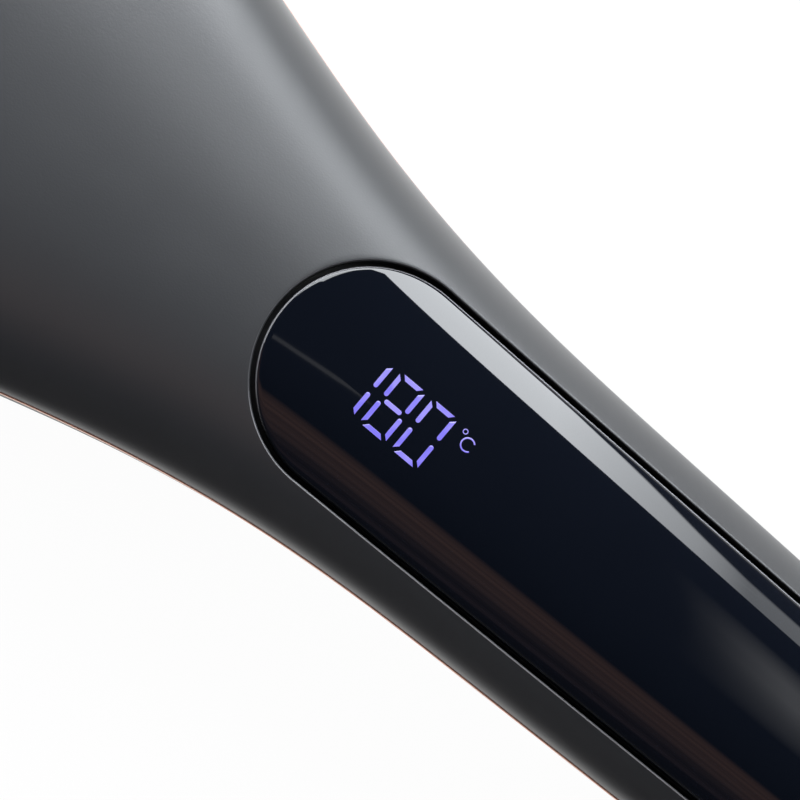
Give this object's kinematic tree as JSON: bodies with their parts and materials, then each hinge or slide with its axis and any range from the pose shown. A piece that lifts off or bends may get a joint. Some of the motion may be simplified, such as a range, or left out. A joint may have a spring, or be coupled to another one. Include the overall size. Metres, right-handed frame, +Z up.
{
  "type": "steam hair straightener brush",
  "caption": "Hand-held steam straightening brush: paddle head with heated teeth and a slide-off water tank, slim handle with a glossy digital display panel and a swivel cord gland.",
  "frame": {"origin": "middle of the brush's length and width, on the plane the tooth tips rest on", "axes": "+X along the handle from the head towards the cord end, +Y across the brush, +Z up through the display panel"},
  "size_m": [0.3169, 0.0696, 0.041],
  "materials": {
    "casing_grey": "soft-touch matte",
    "rose_gold": "satin rose-gold plating",
    "panel_black": "piano-black gloss",
    "key_black": "satin black",
    "tank_smoke": "smoked clear",
    "tank_dark": "moulded",
    "seal_rubber": "moulded",
    "hose_silicone": "translucent white",
    "frame_black": "fine texture",
    "bristle_nylon": "moulded nylon",
    "cap_plastic": "heat-resistant",
    "heat_alloy": "ceramic-coated satin",
    "steel": "zinc plated",
    "contact_brass": "bright",
    "steam_plastic": "heat-resistant natural",
    "heater_ceramic": "matt",
    "mica": "mica sheet",
    "board_green": "solder mask",
    "part_black": "moulded",
    "plunger_white": "moulded",
    "display_face": "segment face",
    "winding_copper": "enamelled copper",
    "pump_body": "moulded",
    "lead_red": "silicone insulation"
  },
  "bodies": {
    "housing": {"back_housing": "casing_grey", "front_housing": "casing_grey", "trim_band": "rose_gold", "housing_screws": "steel", "display_lens": "panel_black", "lens_gasket": "seal_rubber", "switch_bodies": "part_black", "control_board": "board_green", "display_module": "display_face", "board_chips": "part_black", "power_board": "board_green", "filter_capacitor": "part_black", "transformer_core": "steel", "transformer_winding": "winding_copper", "triac_heatsink": "heat_alloy", "board_screws": "steel", "water_pump": "pump_body", "inlet_tube": "hose_silicone", "outlet_tube": "hose_silicone", "bristle_frame": "frame_black", "nylon_bristles": "bristle_nylon", "heating_plate": "heat_alloy", "heated_teeth": "heat_alloy", "tooth_caps": "cap_plastic", "manifold_gasket": "seal_rubber", "steam_manifold": "steam_plastic", "heater_elements": "heater_ceramic", "heater_clamps": "steel", "clamp_screws": "steel", "thermal_cutoff": "part_black", "thermistor": "part_black", "heat_shield": "mica", "tank_dock": "tank_dark", "dock_seal": "seal_rubber", "end_collar": "frame_black", "swivel_sleeve": "frame_black", "contact_springs": "contact_brass", "contact_block": "frame_black", "heater_leads": "lead_red", "mains_leads": "lead_red"},
    "steam_key": {"steam_button": "key_black", "steam_plunger": "plunger_white"},
    "plus_key": {"plus_button": "key_black", "plus_plunger": "plunger_white"},
    "minus_key": {"minus_button": "key_black", "minus_plunger": "plunger_white"},
    "power_key": {"power_button": "key_black", "power_plunger": "plunger_white"},
    "tank": {"tank_shell": "tank_smoke", "tank_base": "tank_smoke", "tank_outlet": "tank_dark"},
    "filler": {"filler_plug": "seal_rubber"},
    "cord_swivel": {"swivel_bush": "frame_black", "slip_rings": "contact_brass"}
  },
  "joints": [
    {"name": "steam_press", "type": "slide", "parent": "housing", "child": "steam_key", "axis": [0, 0, -1], "range_m": [0, 0.0005], "stiffness_N_per_m": 3000, "springref_m": -0.00002},
    {"name": "plus_press", "type": "slide", "parent": "housing", "child": "plus_key", "axis": [0, 0, -1], "range_m": [0, 0.0005], "stiffness_N_per_m": 3000, "springref_m": -0.00002},
    {"name": "minus_press", "type": "slide", "parent": "housing", "child": "minus_key", "axis": [0, 0, -1], "range_m": [0, 0.0005], "stiffness_N_per_m": 3000, "springref_m": -0.00002},
    {"name": "power_press", "type": "slide", "parent": "housing", "child": "power_key", "axis": [0, 0, -1], "range_m": [0, 0.0005], "stiffness_N_per_m": 3000, "springref_m": -0.00002},
    {"name": "tank_slide", "type": "slide", "parent": "housing", "child": "tank", "axis": [-1, 0, 0], "range_m": [0, 0.065]},
    {"name": "filler_lift", "type": "slide", "parent": "tank", "child": "filler", "axis": [0, 0, 1], "range_m": [0, 0.015]},
    {"name": "cord_turn", "type": "hinge", "parent": "housing", "child": "cord_swivel", "pos_m": [0.1456, 0, 0.026], "axis": [1, 0, 0], "continuous": true}
  ]
}
